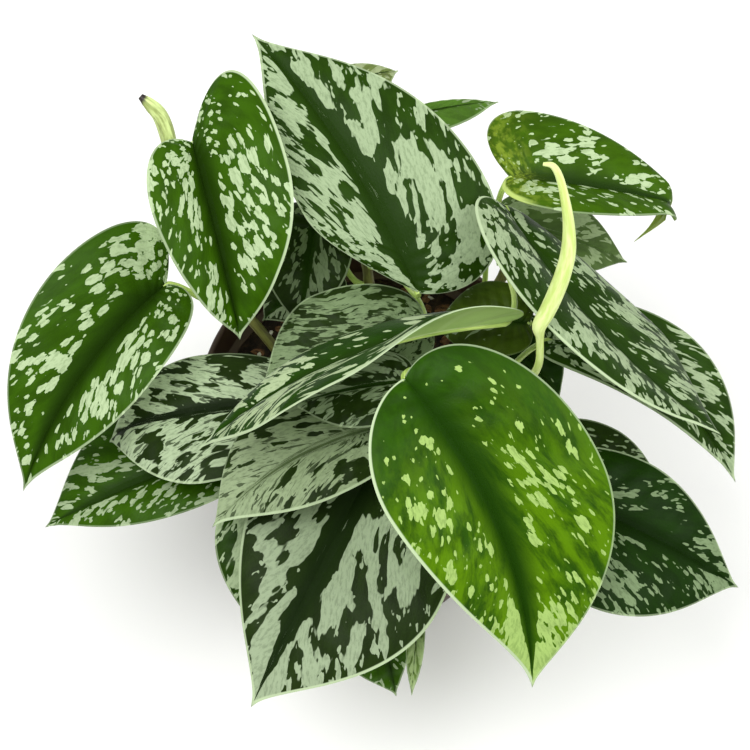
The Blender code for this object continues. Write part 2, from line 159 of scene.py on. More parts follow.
UP = np.array((0.0, 0.0, 1.0))

# Each vine rises from its foot at the soil to its top, and the petioles leave it
# at a share of that height.
STEMS = {
    "stem_back": {"foot": (0.000, 0.020), "top": (-0.004, 0.050, 0.138)},
    "stem_left": {"foot": (-0.028, 0.010), "top": (-0.052, 0.024, 0.148)},
    "stem_right": {"foot": (0.028, 0.016), "top": (0.044, 0.028, 0.150)},
    "stem_front": {"foot": (0.002, -0.014), "top": (0.002, -0.006, 0.138)},
    "stem_front_right": {"foot": (0.030, -0.017), "top": (0.038, -0.014, 0.150)},
    "stem_front_left": {"foot": (-0.024, -0.016), "top": (-0.022, -0.010, 0.114)},
}


def leaf(stem, node, heart, tip, left, right, **form):
    """One leaf, its lengths in mm: its vine and place on it, its ends, and its two halves.

    left and right hold a half's greatest width and the degrees that it lifts from
    level, seen from above along the leaf from heart to tip. form may give bow (the
    midrib's rise), sway (its bend to the right), tuck (how far the tip drops from where
    it turns under), fold (where that starts), curl (how far it turns back, as a share of
    the drop), lobes (how far each lobe reaches behind the heart, as a share of the
    length), peak (where each half is widest) and raised (the degrees that each half
    lifts more beside the heart).
    """
    shape = {"bow": 5, "sway": 0, "tuck": 0, "fold": 0.7, "curl": 0.5,
             "lobes": (0.10, 0.10), "peak": (0.36, 0.36), "raised": (0, 0)}
    shape.update(form)
    for key in ("bow", "sway", "tuck"):
        shape[key] /= 1000
    shape.update(stem=stem, node=node, heart=np.array(heart) / 1000, tip=np.array(tip) / 1000)
    shape.update(left=(left[0] / 1000, left[1]), right=(right[0] / 1000, right[1]))
    return shape


LEAVES = {
    "leaf_back_centre": leaf(
        "stem_back", 0.84, (14, 11, 163), (-40, 92, 189), (23, 5), (35.5, 8), sway=3,
        lobes=(-0.08, 0.08), peak=(0.38, 0.22)),
    "leaf_back_left": leaf(
        "stem_left", 0.97, (-58, 51, 189), (-42, -9, 165), (29, 22), (22.5, 35), lobes=(0.34, 0.05),
        tuck=5, peak=(0.26, 0.32)),
    "leaf_left": leaf(
        "stem_left", 0.84, (-68, 17, 157), (-114.5, -42, 125), (21.5, 5), (28.2, 30), bow=6, sway=4,
        lobes=(0.1, 0.16), peak=(0.36, 0.22)),
    "leaf_front": leaf(
        "stem_front_right", 0.97, (9, -32, 189), (49, -111, 131), (37, 8), (32, 15), bow=6,
        sway=-8.5, lobes=(0.06, 0.03), peak=(0.46, 0.3)),
    "leaf_front_left": leaf(
        "stem_front", 0.55, (7, -18, 124), (-40, -108, 102), (42, 5), (31, 8), bow=6,
        lobes=(0.06, 0.06), peak=(0.48, 0.3)),
    "leaf_front_left_under": leaf(
        "stem_front_left", 0.55, (-28, -33, 113), (-37, -84, 98), (16, 5), (21, 5)),
    "leaf_front_low": leaf(
        "stem_front", 0.36, (-4, -62, 114), (7, -98, 83), (10, 5), (18, 5), bow=4),
    "leaf_front_slim": leaf(
        "stem_front_right", 0.3, (14, -78, 109), (12, -101, 93), (3, 10), (3, 10), bow=2),
    "leaf_back_right": leaf(
        "stem_right", 0.93, (44, 49, 171), (107, 41, 163), (24, 5), (18, 30), bow=3,
        lobes=(0.15, 0.08), tuck=28, fold=0.78, curl=0.6, peak=(0.03, 0.32)),
    "leaf_back_right_under": leaf(
        "stem_right", 0.6, (42, 50, 139), (85, 39, 131), (14, 5), (16, 5), bow=4),
    "leaf_right": leaf(
        "stem_right", 0.98, (42, 38, 171), (111, -30, 143), (27, -38), (27, 42), bow=6, sway=8,
        lobes=(0.02, 0.08), peak=(0.66, 0.3)),
    "leaf_right_under": leaf(
        "stem_front_right", 0.8, (58, 9, 133), (120, -32, 109), (20, 8), (14, 28), bow=7, sway=-8,
        peak=(0.42, 0.36)),
    "leaf_front_right": leaf(
        "stem_front_right", 0.74, (55, -46, 135), (118, -71, 113), (22, 5), (32, 5)),
    "leaf_front_right_under": leaf(
        "stem_front_right", 0.5, (57, -25, 119), (100, -42, 99), (17, 5), (15, 5), bow=3),
    "leaf_mid_left": leaf(
        "stem_front_left", 0.95, (-25, -12, 130), (-93, -21, 123), (26, 0), (20, 0), tuck=8,
        peak=(0.48, 0.44)),
    "leaf_low_left": leaf(
        "stem_front_left", 0.76, (-46, -23, 115), (-110, -45, 101), (16.5, 5), (27, 0),
        peak=(0.3, 0.42)),
    "leaf_inner_front": leaf(
        "stem_front", 0.78, (3, -27, 143), (-52, -58, 133), (18, 0), (22, 0), sway=4),
    "leaf_centre_folded": leaf(
        "stem_right", 0.99, (41, -4, 171.5), (-54.5, -43.5, 163), (22, 50), (17, -40), sway=7,
        lobes=(0.14, 0.08), peak=(0.74, 0.48), raised=(37, 0)),
    "leaf_inner_silver": leaf(
        "stem_back", 0.72, (16, 9, 147), (-37, -13, 143), (19, 5), (20, 12), bow=4,
        lobes=(0.06, 0.06), peak=(0.4, 0.52)),
    "leaf_inner_back_left": leaf(
        "stem_back", 0.6, (-19, 49, 149), (-25, 9, 139), (14, 5), (16, 5), bow=3),
    "leaf_inner_left": leaf(
        "stem_back", 0.34, (-15, 39, 127), (-38, 22, 121), (14, 5), (14, 5), bow=3),
    "leaf_inner_centre": leaf(
        "stem_front", 0.92, (11, -18, 158), (-27, -24, 152), (15, 5), (12, 5), bow=3),
    "leaf_inner_right": leaf(
        "stem_right", 0.74, (50, 8, 147), (19, 10, 141), (14, 5), (14, 5), bow=3),
    "leaf_inner_front_right": leaf(
        "stem_front_right", 0.62, (42, 17, 125), (62, -6, 117), (13, 5), (13, 5), bow=3),
    "leaf_far_back": leaf("stem_back", 0.93, (-19, 94, 149), (8, 106, 145), (6, 5), (12, 5), bow=3),
    "leaf_far_back_right": leaf(
        "stem_back", 0.98, (4, 79, 155), (42, 91, 149), (3, 5), (9, 5), bow=3),
}

# A rolled young leaf, in mm: its vine, its stalk's radius, then points up the roll with
# the radius at each.
YOUNG_LEAVES = {
    "young_leaf_rolled": {
        "stem": "stem_front_right", "node": 0.99, "radius": 1.4,
        "line": (
            (51.4, -16.6, 176, 1.3), (51.1, -14.5, 182, 1.4), (50.8, -12.6, 186, 2.4),
            (53.2, -9.4, 190, 2.7), (55.8, -5.1, 195, 2.8), (57.7, -1.2, 200, 2.7),
            (59, 3.7, 205, 2.5), (58.8, 8.8, 211, 2), (57.7, 13.9, 216, 1.6),
            (55.8, 20.3, 220, 1.3), (53.7, 23.3, 222, 1.1), (50.7, 24, 222, 0.6))},
    "young_shoot_left": {
        "stem": "stem_left", "node": 0.99, "radius": 1.3,
        "line": (
            (-64, 40, 166, 1.3), (-65, 48, 178, 1.8), (-66, 53, 188, 2.8), (-68, 57, 195, 2.8),
            (-71, 59, 199, 2.3), (-74, 61, 201, 1))},
}


class Look(NamedTuple):
    """A leaf's colours in sRGB and its splashes, with pairs for its left and right half."""
    green: tuple
    silver: tuple
    cover: tuple  # the share under large splashes
    fleck: tuple  # the share under small flecks
    size: tuple = (5.0, 2.4)  # a large splash's length and width, in mm
    band: float = 0.18  # the plain share beside the midrib
    lines: float = 0.0  # how much dark streaks cut the silver
    tip: float = 0.0  # the silver added towards the tip
    middle: tuple = (33, 60, 5)  # the colour beside the midrib
    backlight_glow: float = 0.0  # how much painted light, shining through the blade, turns the green yellow between the veins
    bare: float = 0.0  # the share beside the heart with few splashes
    curl: float = 0.0  # the breadth of a pale edge round the right lobe, in mm
    outer: float = 0.10  # how much plainer a half is at its margin
    apart: bool = False  # whether the splashes are rounded and stand apart
    margins: tuple = (0.4, 0.4)  # how pale the margin is


FRESH = (56, 96, 2)
DEEP = (40, 70, 6)
# Partly a duller green, partly painted shade, for the leaves that lie under others
DULL_SHADED_GREEN = (38, 57, 15)
BRIGHT_SILVER = (190, 212, 164)
SILVER = (170, 190, 148)
# Partly a duller silver, partly painted shade, for the leaves that lie under others
DULL_SHADED_SILVER = (150, 168, 132)

LOOKS = {
    "leaf_back_centre": Look(
        DEEP, (170, 191, 149), (0.6, 0.6), (0.3, 0.3), (6.5, 3), 0.16, margins=(0.7, 0.6)),
    "leaf_back_left": Look(
        FRESH, BRIGHT_SILVER, (0.26, 0.26), (0.22, 0.22), (4.3, 3.1), 0.14, apart=True,
        margins=(0.9, 0.6)),
    "leaf_left": Look(
        FRESH, BRIGHT_SILVER, (0.24, 0.24), (0.15, 0.15), (4.7, 3.1), 0.18, outer=0.2, apart=True,
        margins=(0.6, 0.3)),
    # The front leaf has painted light glowing yellow through its blade.
    "leaf_front": Look(
        (43, 84, 1), (170, 202, 112), (0.12, 0.16), (0.18, 0.14), (6, 4), 0.16, tip=0.42,
        apart=True, middle=(30, 66, 1), backlight_glow=0.95, bare=0.34, margins=(0.5, 1)),
    "leaf_front_left": Look(
        DULL_SHADED_GREEN, (168, 186, 150), (0.56, 0.58), (0.24, 0.22), (8, 4.2), 0.13, middle=(28, 46, 14),
        tip=0.16, outer=0.18, margins=(1, 0.8)),
    "leaf_front_left_under": Look(DEEP, SILVER, (0.36, 0.36), (0.24, 0.24), (9, 4)),
    "leaf_front_low": Look(FRESH, SILVER, (0.06, 0.1), (0.14, 0.2)),
    "leaf_front_slim": Look((116, 146, 70), (168, 192, 130), (0.6, 0.6), (0.4, 0.4), band=0.05),
    "leaf_back_right": Look(
        (62, 100, 4), BRIGHT_SILVER, (0.06, 0.18), (0.12, 0.16), (5, 3.4), 0.1, curl=2.2,
        apart=True, margins=(0.3, 0.4)),
    # Partly this leaf's own olive, partly painted light: lightened, though it lies in the shadow of
    # the leaf above
    "leaf_back_right_under": Look(
        (92, 118, 62), (158, 178, 132), (0.46, 0.46), (0.3, 0.3), (5, 3), 0.05,
        middle=(82, 108, 54), margins=(0.1, 0.1)),
    "leaf_right": Look(
        DEEP, SILVER, (0.26, 0.3), (0.24, 0.24), (5.6, 3), 0.08, apart=True, margins=(0.3, 1)),
    "leaf_right_under": Look(
        DEEP, SILVER, (0.36, 0.34), (0.3, 0.3), (6, 2), 0.08, margins=(0.4, 0.6)),
    "leaf_front_right": Look(
        (25, 55, 2), (130, 152, 110), (0.09, 0.11), (0.2, 0.2), (4.8, 3.2), 0.12, tip=0.14,
        apart=True, middle=(18, 42, 2), margins=(0.5, 0.4)),
    "leaf_front_right_under": Look(DULL_SHADED_GREEN, DULL_SHADED_SILVER, (0.2, 0.2), (0.24, 0.24)),
    "leaf_mid_left": Look(
        DULL_SHADED_GREEN, (184, 203, 164), (0.78, 0.7), (0.3, 0.3), (6, 3), 0.08, lines=0.8,
        middle=(24, 37, 13), margins=(0.7, 0.3)),
    "leaf_low_left": Look(
        FRESH, SILVER, (0.17, 0.2), (0.24, 0.22), (4.4, 3), 0.1, apart=True, margins=(0.3, 0.3)),
    "leaf_inner_front": Look(
        DULL_SHADED_GREEN, (160, 178, 137), (0.74, 0.68), (0.3, 0.3), (6, 2.8), 0.02, lines=0.8, tip=0.3,
        middle=(92, 110, 70), margins=(0.9, 0.3)),
    "leaf_centre_folded": Look(
        (38, 74, 5), (190, 210, 162), (0.34, 0.25), (0.14, 0.14), (8, 3.2), 0.08, apart=True,
        margins=(1, 1)),
    "leaf_inner_silver": Look(
        DULL_SHADED_GREEN, (130, 151, 109), (0.74, 0.76), (0.34, 0.34), (3.6, 1.9), 0.02, lines=0.9,
        middle=(50, 68, 34), margins=(0.4, 0.4)),
    "leaf_inner_back_left": Look(DULL_SHADED_GREEN, (122, 140, 104), (0.24, 0.24), (0.3, 0.3), (4, 2.4), 0.1),
    "leaf_inner_left": Look(DULL_SHADED_GREEN, DULL_SHADED_SILVER, (0.2, 0.2), (0.2, 0.2)),
    "leaf_inner_centre": Look(DULL_SHADED_GREEN, DULL_SHADED_SILVER, (0.66, 0.66), (0.3, 0.3), (6, 3), 0.05, lines=0.8),
    "leaf_inner_right": Look(
        (70, 92, 22), DULL_SHADED_SILVER, (0.02, 0.02), (0.06, 0.06), margins=(0.1, 0.1)),
    "leaf_inner_front_right": Look((34, 62, 14), DULL_SHADED_SILVER, (0.02, 0.02), (0.06, 0.06)),
    "leaf_far_back": Look((114, 132, 70), (164, 178, 132), (0.3, 0.3), (0.2, 0.2), band=0.06),
    "leaf_far_back_right": Look((84, 124, 40), DULL_SHADED_SILVER, (0.03, 0.03), (0.06, 0.06), band=0.06),
}

PALE_MARGIN = (196, 216, 172)
# Painted light: the yellow green of light shining through a blade
BACKLIGHT_GREEN = (92, 136, 2)
MOTTLED_HEART = (140, 164, 50)
LOBE_EDGE = (196, 218, 120)
# Painted light on a turned-under tip, which faces away from the lamps
LIT_OLIVE_TIP = (172, 196, 84)
LEAF_SHADE = 0.76
DARK_TONE = 0.66
MARGIN_WIDTH = 0.35
MARGIN_GAIN = 0.55

# A splash's direction, in degrees from the midrib in the map that follows the side veins
SPLASH_TURN = 28
# How far apart the two halves and the leaves lie in the noise
SIDE_SHIFT = 50.0
LEAF_SHIFT = 17.3
NOISE_MIDDLE = 0.5
NOISE_SPREAD = 0.105
DRIFT_SCALE = 0.10
DRIFT_DEPTH = 0.5
DRIFT_REACH = 1.7
RAGGED_SCALE = 2.6
RAGGED_DEPTH = 0.65
SPLASH_FINENESS = 0.8
FLECK_LENGTH = 3.2
FLECK_WIDTH = 1.9
FLECK_SHARE = 0.55
LINE_LENGTH = 4.5
LINE_WIDTH = 1.2
LINE_EDGE = (0.56, 0.60)
BAND_DEPTH = 0.30
APART_BAND_DEPTH = 1.5
BARE_DEPTH = 0.28
TIP_START = 0.70
OUTER_START = 0.62
SPLASH_EDGE = (-0.004, 0.022)


def linear(colour, shade=1.0):
    """A colour given in sRGB, 0 to 255, as linear numbers with alpha."""
    shares = [channel / 255 for channel in colour]
    straight = [share / 12.92 if share <= 0.04045 else ((share + 0.055) / 1.055) ** 2.4
                for share in shares]
    return (*(channel * shade for channel in straight), 1.0)


def mixed(one, two, share):
    return tuple(a + (b - a) * share for a, b in zip(one, two))


class Painter:
    """Builds one material's nodes. Its methods return sockets."""

    def __init__(self, name, shade=1.0):
        self.shade = shade
        self.material = bpy.data.materials.new(name)
        self.material.use_nodes = True
        self.tree = self.material.node_tree
        self.shader = self.tree.nodes["Principled BSDF"]

    def feed(self, node, values):
        """Links a socket or sets a plain value, for each input by its name or number."""
        for key, value in values.items():
            if isinstance(value, bpy.types.NodeSocket):
                self.tree.links.new(value, node.inputs[key])
            else:
                node.inputs[key].default_value = value

    def node(self, kind, values, output=0, **settings):
        made = self.tree.nodes.new(kind)
        for key, value in settings.items():
            setattr(made, key, value)
        self.feed(made, values)
        return made.outputs[output]

    def math(self, operation, one, two=0.0):
        return self.node("ShaderNodeMath", {0: one, 1: two}, operation=operation)

    def plus(self, one, two):
        return self.math("ADD", one, two)

    def minus(self, one, two):
        return self.math("SUBTRACT", one, two)

    def times(self, one, two):
        return self.math("MULTIPLY", one, two)

    def scaled(self, vector, *by):
        return self.node("ShaderNodeVectorMath", {0: vector, 1: by}, operation="MULTIPLY")

    def attribute(self, name, output="Vector"):
        return self.node("ShaderNodeAttribute", {}, output, attribute_name=name)

    def place(self):
        return self.node("ShaderNodeTexCoord", {}, "Object")

    def join(self, *numbers):
        return self.node("ShaderNodeCombineXYZ", dict(enumerate(numbers)))

    def split(self, vector):
        return self.node("ShaderNodeSeparateXYZ", {0: vector}, slice(3))

    def noise(self, vector, scale, detail=2.0, roughness=0.5, distortion=0.0):
        values = {"Vector": vector, "Scale": scale, "Detail": detail, "Roughness": roughness,
                  "Distortion": distortion}
        return self.node("ShaderNodeTexNoise", values, "Fac")

    def step(self, value, low, high, to_low=0.0, to_high=1.0):
        """Smoothly from to_low to to_high as value goes from low to high."""
        values = {"Value": value, "From Min": low, "From Max": high, "To Min": to_low,
                  "To Max": to_high}
        return self.node("ShaderNodeMapRange", values, "Result", interpolation_type="SMOOTHSTEP")

    def colour(self, value):
        """Linear, where three sRGB numbers are given, and otherwise as it is."""
        in_srgb = isinstance(value, tuple) and len(value) == 3
        return linear(value, self.shade) if in_srgb else value

    def mix(self, share, one, two, kind="RGBA"):
        values = {"Factor": share, "A": self.colour(one), "B": self.colour(two)}
        return self.node("ShaderNodeMix", values, "Result", data_type=kind)

    def blend(self, share, one, two):
        """Between two numbers."""
        return self.mix(share, one, two, "FLOAT")

    def bump(self, height, distance, strength):
        values = {"Height": height, "Distance": distance, "Strength": strength}
        self.feed(self.shader, {"Normal": self.node("ShaderNodeBump", values, "Normal")})

    def finish(self, colour, roughness, specular):
        self.feed(self.shader, {"Base Color": colour, "Roughness": roughness,
                                "Specular IOR Level": specular})
        return self.material


def level(cover):
    """The noise value above which lies this share of it."""
    return NormalDist(NOISE_MIDDLE, NOISE_SPREAD).inv_cdf(1 - cover)


def rounded_splashes(paint, streak, beside, side, drift, look, seed):
    """Above 0 inside splashes that mostly stand apart, one to a cell of the given size."""
    length, width = look.size
    x = paint.plus(paint.times(streak, 1 / length), paint.times(side, SIDE_SHIFT))
    y = paint.plus(paint.times(beside, 1 / width), LEAF_SHIFT * seed)
    cell = paint.join(x, y, 0.0)
    distance = paint.node("ShaderNodeTexVoronoi", {"Vector": cell, "Scale": 1.0}, "Distance",
                          voronoi_dimensions="2D")
    ragged = paint.noise(cell, RAGGED_SCALE, 2.0)
    ragged = paint.times(paint.minus(ragged, NOISE_MIDDLE), RAGGED_DEPTH)
    left, right = [math.sqrt(-math.log(1 - cover) / math.pi) for cover in look.cover]
    reach = paint.plus(paint.blend(side, left, right), paint.times(drift, DRIFT_REACH))
    return paint.minus(paint.plus(reach, ragged), distance)


def merged_splashes(paint, place, side, drift, look):
    """Above 0 inside splashes that run into each other, as noise drawn out to their size."""
    length, width = look.size
    stretched = paint.scaled(place, SPLASH_FINENESS / length, SPLASH_FINENESS / width, 1.0)
    left, right = [level(cover) for cover in look.cover]
    cloud = paint.noise(stretched, 1.0, 2.4, 0.46, 0.3)
    return paint.plus(paint.minus(cloud, paint.blend(side, left, right)), drift)


def flecks(paint, place, side, drift, look):
    """Above 0 inside small flecks."""
    stretched = paint.scaled(place, 1 / FLECK_LENGTH, 1 / FLECK_WIDTH, 1.0)
    small = paint.noise(stretched, 1.0, 1.5, 0.5, 0.2)
    left, right = [level(cover * FLECK_SHARE) for cover in look.fleck]
    return paint.minus(paint.plus(small, drift), paint.blend(side, left, right))


def splashes(paint, look, seed):
    """How far a point is inside a splash, from 0 to 1, and the map that splashes follow."""
    along, out, _ = paint.split(paint.attribute("leaf_mm"))
    share, across, side = paint.split(paint.attribute("leaf_part"))
    out = paint.math("ABSOLUTE", out)
    turn = math.radians(SPLASH_TURN)
    streak = paint.plus(paint.times(along, math.cos(turn)), paint.times(out, math.sin(turn)))
    beside = paint.minus(paint.times(out, math.cos(turn)), paint.times(along, math.sin(turn)))
    place = paint.join(streak, beside, paint.plus(paint.times(side, SIDE_SHIFT), LEAF_SHIFT * seed))

    drift = paint.noise(place, DRIFT_SCALE, 1.0)
    drift = paint.times(paint.minus(drift, NOISE_MIDDLE), DRIFT_DEPTH)
    if look.apart:
        large = paint.plus(rounded_splashes(paint, streak, beside, side, drift, look, seed), drift)
    else:
        large = merged_splashes(paint, place, side, drift, look)
    large = paint.plus(large, paint.step(across, OUTER_START, 1.0, 0.0, -look.outer))
    value = paint.math("MAXIMUM", large, flecks(paint, place, side, drift, look))

    band = look.band
    depth = APART_BAND_DEPTH if look.apart else BAND_DEPTH
    value = paint.plus(value, paint.step(across, band * 0.6, band * 1.5, -depth, 0.0))
    value = paint.plus(value, paint.step(share, TIP_START, 1.0, 0.0, look.tip))
    if look.bare:
        value = paint.plus(
            value, paint.step(share, look.bare * 0.4, look.bare * 1.3, -BARE_DEPTH, 0.0))
    splash = paint.step(value, *SPLASH_EDGE)
    if look.lines:
        thin = paint.scaled(place, 1 / LINE_LENGTH, 1 / LINE_WIDTH, 1.0)
        cut = paint.step(paint.noise(thin, 1.0, 2.5, 0.55, 0.5), *LINE_EDGE)
        splash = paint.times(splash, paint.minus(1.0, paint.times(cut, look.lines)))
    return splash, place


def leaf_green(paint, look, place, share, across):
    """The green between the splashes, with painted light glowing yellow through it, and its darker
    middle.
    """
    dark = linear(look.green, LEAF_SHADE * DARK_TONE)
    drawn_out = paint.scaled(place, 0.5, 1.0, 1.0)
    tone = paint.step(paint.noise(drawn_out, 0.22, 4.0, 0.6), 0.34, 0.66)
    green = paint.mix(tone, dark, look.green)
    # Painted light shining through the blade, yellow between the heart and the tip
    if look.backlight_glow:
        backlight_share = paint.step(paint.noise(drawn_out, 0.16, 5.0, 0.66, 0.2), 0.34, 0.62)
        backlight_share = paint.times(paint.times(backlight_share, look.backlight_glow), paint.step(share, 0.16, 0.60))
        green = paint.mix(backlight_share, green, BACKLIGHT_GREEN)
    return paint.mix(paint.step(across, 0.02, look.band * 1.5 + 0.12), look.middle, green)


def curled_heart(paint, look, colour, place, share, side, edge):
    """A yellow-green mottled heart with a pale edge round the right lobe, and a tip lightened to
    olive with painted light.
    """
    mottle = paint.step(paint.noise(place, 0.35, 3.0, 0.6, 0.3), 0.40, 0.62, 0.10, 0.80)
    heart = paint.times(paint.step(share, 0.50, 0.14), mottle)
    colour = paint.mix(heart, colour, MOTTLED_HEART)
    lobe = paint.times(paint.step(edge, look.curl, look.curl * 0.5), paint.step(share, 0.34, 0.24))
    colour = paint.mix(paint.times(lobe, side), colour, LOBE_EDGE)
    # Painted light: the turned-under tip, which faces away from the lamps, is lightened to olive
    return paint.mix(paint.step(share, 0.88, 0.94), colour, LIT_OLIVE_TIP)


def splash_material(name, look, seed):
    """A blade's upper face: green, with silver splashes that fan out from the midrib."""
    paint = Painter(name, LEAF_SHADE)
    splash, place = splashes(paint, look, seed)
    share, across, side = paint.split(paint.attribute("leaf_part"))
    edge = paint.attribute("edge_mm", "Fac")
    green = leaf_green(paint, look, place, share, across)
    thin_silver = mixed(paint.colour(look.silver), paint.colour(look.green), 0.30)
    frost = paint.step(paint.noise(paint.scaled(place, 0.6, 1.2, 1.0), 0.9, 3.0, 0.65), 0.34, 0.56)
    colour = paint.mix(splash, green, paint.mix(frost, thin_silver, look.silver))
    wide = paint.blend(side, *(MARGIN_WIDTH + MARGIN_GAIN * pale for pale in look.margins))
    pale = paint.step(paint.math("DIVIDE", edge, wide), 1.25, 0.75)
    pale = paint.times(pale, paint.blend(side, *look.margins))
    colour = paint.mix(pale, colour, PALE_MARGIN)
    if look.curl:
        colour = curled_heart(paint, look, colour, place, share, side, edge)
    relief = paint.plus(paint.noise(place, 1.5, 3.0, 0.6), paint.times(splash, 0.4))
    paint.bump(relief, 0.00022, 0.5)
    return paint.finish(colour, paint.blend(splash, 0.42, 0.50), 0.06)


def underside_material():
    """A blade's lower face: pale green, with the midrib and side veins a little paler."""
    paint = Painter("leaf_underside")
    place = paint.attribute("leaf_mm")
    share, across, _ = paint.split(paint.attribute("leaf_part"))
    tone = paint.noise(place, 0.14, 3.0)
    colour = paint.mix(tone, (128, 160, 78), (158, 188, 104))
    rings = paint.math("SINE", paint.times(share, math.tau * QUILT_VEINS))
    colour = paint.mix(paint.times(paint.step(rings, 0.6, 1.0), 0.35), colour, (170, 194, 128))
    colour = paint.mix(paint.step(across, 0.05, 0.015), colour, (186, 206, 140))
    paint.bump(paint.noise(place, 2.0, 2.0), 0.0001, 0.4)
    return paint.finish(colour, paint.step(tone, 0.3, 0.7, 0.5, 0.6), 0.35)


def stalk_tone(paint, fineness):
    """A stalk's place in mm, and a tone streaked along it."""
    place = paint.attribute("stalk_mm")
    return place, paint.noise(paint.scaled(place, 1.0, 1.0, 0.14), fineness, 3.0, 0.6)


def stalk_material(name, base, paler, fineness):
    """A petiole, vine or rolled young leaf, streaked along its length."""
    paint = Painter(name)
    _, tone = stalk_tone(paint, fineness)
    colour = paint.mix(paint.step(tone, 0.35, 0.68), base, paler)
    paint.bump(tone, 0.0001, 0.5)
    return paint.finish(colour, paint.step(tone, 0.3, 0.7, 0.42, 0.55), 0.45)


def shoot_material():
    """The left shoot: pale green, brown at its withered tip."""
    paint = Painter("young_shoot")
    place, tone = stalk_tone(paint, 0.8)
    fresh = paint.mix(paint.step(tone, 0.35, 0.68), (134, 148, 78), (206, 224, 146))
    to_tip = paint.plus(paint.split(place)[2], paint.times(tone, 1.6))
    colour = paint.mix(paint.step(to_tip, 3.4, 1.8), fresh, (34, 26, 20))
    paint.bump(tone, 0.0001, 0.5)
    return paint.finish(colour, paint.step(tone, 0.3, 0.7, 0.45, 0.6), 0.4)


def pot_material():
    """Dark brown moulded plastic, dusty in places."""
    paint = Painter("pot_plastic")
    place = paint.place()
    cloud = paint.noise(place, 26.0, 4.0, 0.6)
    colour = paint.mix(cloud, (58, 40, 30), (78, 56, 42))
    low = paint.step(paint.split(place)[2], 0.02, 0.0, 0.12, 0.5)
    dust = paint.times(paint.step(cloud, 0.48, 0.72), low)
    colour = paint.mix(dust, colour, (128, 108, 86))
    paint.bump(paint.noise(place, 900.0, 2.0), 0.00006, 0.35)
    return paint.finish(colour, paint.step(cloud, 0.3, 0.7, 0.46, 0.6), 0.5)


def soil_material():
    """Dark, crumbly potting soil."""
    paint = Painter("potting_soil")
    place = paint.place()
    coarse = paint.noise(place, 320.0, 5.0, 0.65)
    fine = paint.noise(place, 1600.0, 3.0)
    colour = paint.mix(paint.step(coarse, 0.36, 0.66), (20, 15, 10), (50, 38, 26))
    colour = paint.mix(paint.step(fine, 0.62, 0.76, 0.0, 0.5), colour, (80, 64, 46))
    paint.bump(paint.plus(coarse, paint.times(fine, 0.4)), 0.0012, 0.9)
    return paint.finish(colour, paint.step(coarse, 0.3, 0.7, 0.86, 0.97), 0.25)


def crumb_material(name, dark, light):
    """Bark or perlite, with short fibres."""
    paint = Painter(name)
    fibres = paint.noise(paint.scaled(paint.place(), 1.0, 2.4, 1.6), 520.0, 4.0, 0.6)
    colour = paint.mix(paint.step(fibres, 0.34, 0.68), dark, light)
    paint.bump(fibres, 0.0006, 0.8)
    return paint.finish(colour, paint.step(fibres, 0.3, 0.7, 0.8, 0.95), 0.25)


def floor_material():
    paint = Painter("floor_white")
    tone = paint.noise(paint.place(), 3.0, 2.0)
    colour = paint.mix(tone, (0.90, 0.90, 0.89, 1.0), (0.93, 0.93, 0.92, 1.0))
    return paint.finish(colour, 0.85, 0.2)


def unit(vector):
    return vector / np.linalg.norm(vector)


def add_mesh(name, points, faces, materials, slots=None, smooth_angle=50):
    mesh = bpy.data.meshes.new(name)
    mesh.from_pydata([tuple(point) for point in points], [], faces)
    mesh.shade_smooth()
    mesh.set_sharp_from_angle(angle=math.radians(smooth_angle))
    for material in materials:
        mesh.materials.append(material)
    if slots is not None:
        mesh.polygons.foreach_set("material_index", slots)
    item = bpy.data.objects.new(name, mesh)
    bpy.context.scene.collection.objects.link(item)
    return item


def add_data(item, name, rows):
    """Stores one number or one vector a point, 0 for the points after the last row."""
    rows = np.asarray(rows)
    values = np.zeros((len(item.data.vertices), *rows.shape[1:]), dtype=np.float32)
    values[:len(rows)] = rows
    kind, field = ("FLOAT_VECTOR", "vector") if rows.ndim == 2 else ("FLOAT", "value")
    made = item.data.attributes.new(name, kind, "POINT")
    made.data.foreach_set(field, values.ravel())


def tube_faces(rings, sides):
    """Faces round a row of rings of points that closes in one point at each end."""
    last = 1 + rings * sides
    faces = []
    for side in range(sides):
        after = (side + 1) % sides
        faces.append((0, 1 + after, 1 + side))
        for low in range(1, last - sides, sides):
            high = low + sides
            faces.append((low + side, low + after, high + after, high + side))
        top = last - sides
        faces.append((top + side, top + after, last))
    return faces


def stands_for(item, node):
    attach(item, "root")
    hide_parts(node)


def bezier(start, leave, arrive, end, steps):
    share = np.linspace(0.0, 1.0, steps + 1)[:, None]
    rest = 1.0 - share
    return (rest ** 3 * start + 3 * share * rest ** 2 * leave
            + 3 * share ** 2 * rest * arrive + share ** 3 * end)


def stem_line(stem):
    """The vine's middle line above the soil."""
    foot = np.array((*stem["foot"], STEM_BEND_LEVEL))
    top = np.array(stem["top"])
    rise = top - foot
    return bezier(foot, foot + UP * rise[2] * LEAVING_PULL, top - rise * ARRIVING_PULL, top,
                  STEM_STEPS)


def stem_place(stem, share):
    """A point on the vine's middle line, and the line's direction there."""
    line = stem_line(stem)
    low = min(int(share * STEM_STEPS), STEM_STEPS - 1)
    step = line[low + 1] - line[low]
    return line[low] + step * (share * STEM_STEPS - low), unit(step)


def smooth_line(points, steps):
    """A curve through the points, with steps pieces between each two (Catmull-Rom)."""
    points = np.asarray(points, dtype=float)
    padded = np.vstack((2 * points[0] - points[1], points, 2 * points[-1] - points[-2]))
    made = [points[0]]
    for before, start, end, after in zip(padded, padded[1:], padded[2:], padded[3:]):
        for index in range(1, steps + 1):
            t = index / steps
            made.append(0.5 * (2 * start + (end - before) * t
                               + (2 * before - 5 * start + 4 * end - after) * t ** 2
                               + (3 * start - before - 3 * end + after) * t ** 3))
    return np.array(made)


